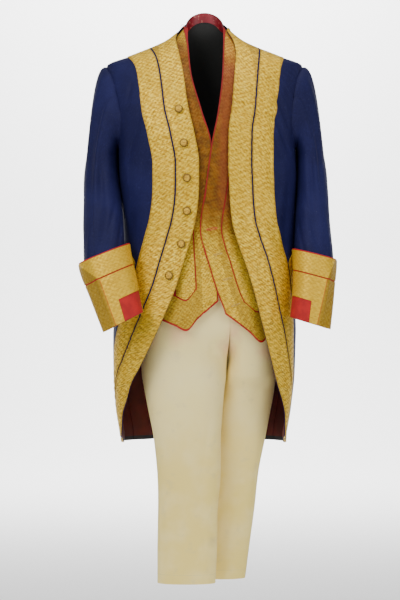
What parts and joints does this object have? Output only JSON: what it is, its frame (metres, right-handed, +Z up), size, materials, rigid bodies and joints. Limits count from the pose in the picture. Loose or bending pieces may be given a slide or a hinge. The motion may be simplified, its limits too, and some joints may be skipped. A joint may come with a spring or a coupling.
{
  "type": "court uniform",
  "caption": "Historic court uniform: open blue coat with red cuffs and gold lace, laced red waistcoat and cream trousers, filled out as worn, hollow inside",
  "frame": {"origin": "the middle of the neck base, level with the shoulders that carry the garment", "axes": "+Z up along the hanging cloth; the front faces -Y; the wearer's left side is at +X"},
  "size_m": [0.6079, 0.4042, 1.3682],
  "materials": {
    "blue_cloth": "satin-faced wool",
    "gold_lace": "woven metal lace",
    "red_wool": "fulled wool",
    "crimson_silk": "silk",
    "dark_crimson_lining": "lining",
    "black_cloth": "plain cloth",
    "cream_wool": "wool",
    "hook_steel": "dark wire"
  },
  "bodies": {
    "root": {"coat_back_left": "blue_cloth", "coat_back_right": "blue_cloth", "coat_button_1": "gold_lace", "coat_button_2": "gold_lace", "coat_button_3": "gold_lace", "coat_button_4": "gold_lace", "coat_button_5": "gold_lace", "coat_button_6": "gold_lace", "coat_facing_left": "crimson_silk", "coat_facing_right": "crimson_silk", "coat_front_left": "blue_cloth", "coat_front_right": "blue_cloth", "coat_lace_edge_left": "gold_lace", "coat_lace_edge_right": "gold_lace", "coat_lace_inner_left": "gold_lace", "coat_lace_inner_right": "gold_lace", "cuff_back_left": "red_wool", "cuff_back_right": "red_wool", "cuff_front_left": "red_wool", "cuff_front_right": "red_wool", "cuff_lace_hand_back_left": "gold_lace", "cuff_lace_hand_back_right": "gold_lace", "cuff_lace_hand_front_left": "gold_lace", "cuff_lace_hand_front_right": "gold_lace", "cuff_lace_top_back_left": "gold_lace", "cuff_lace_top_back_right": "gold_lace", "cuff_lace_top_front_left": "gold_lace", "cuff_lace_top_front_right": "gold_lace", "hem_hook": "hook_steel", "neck_band": "crimson_silk", "neck_loop": "crimson_silk", "pocket_flap_left": "gold_lace", "pocket_flap_right": "gold_lace", "skirt_lining_left": "dark_crimson_lining", "skirt_lining_right": "dark_crimson_lining", "top_sleeve_left": "blue_cloth", "top_sleeve_right": "blue_cloth", "trouser_back_left": "cream_wool", "trouser_back_right": "cream_wool", "trouser_front_left": "cream_wool", "trouser_front_right": "cream_wool", "under_sleeve_left": "blue_cloth", "under_sleeve_right": "blue_cloth", "waistband_back": "cream_wool", "waistband_front": "cream_wool", "waistcoat_back": "black_cloth", "waistcoat_front_left": "red_wool", "waistcoat_front_right": "red_wool", "waistcoat_lace_edge_left": "gold_lace", "waistcoat_lace_edge_right": "gold_lace", "waistcoat_lace_inner_left": "gold_lace", "waistcoat_lace_inner_right": "gold_lace"}
  },
  "joints": []
}
